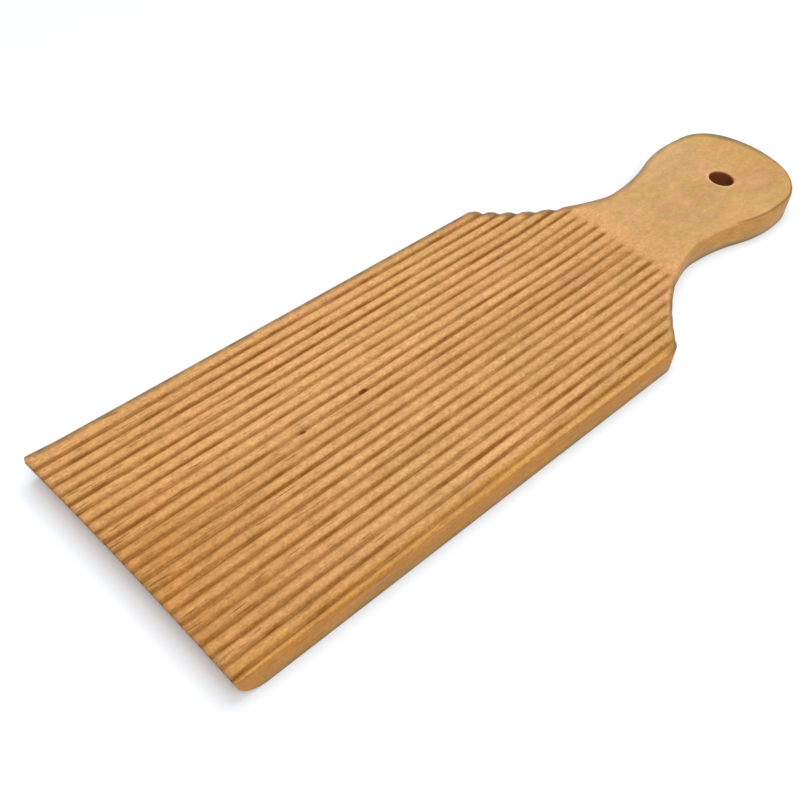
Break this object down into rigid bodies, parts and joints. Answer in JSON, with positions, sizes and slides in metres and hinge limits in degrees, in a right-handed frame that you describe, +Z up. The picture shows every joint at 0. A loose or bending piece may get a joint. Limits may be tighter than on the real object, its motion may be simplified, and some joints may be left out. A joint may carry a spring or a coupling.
{
  "type": "gnocchi board",
  "caption": "Flat wooden paddle with a straight-sided ridged blade for rolling dumplings and a waisted handle with a hanging hole.",
  "frame": {"origin": "centre of the underside's bounding rectangle, on the table plane", "axes": "+Y along the length towards the handle end, +X to the right seen from above with the handle away, +Z up through the ridges"},
  "size_m": [0.07, 0.23, 0.008],
  "materials": {
    "beech": "bare sanded beech, fine grain along the length"
  },
  "bodies": {
    "root": {"board": "beech"}
  },
  "joints": []
}
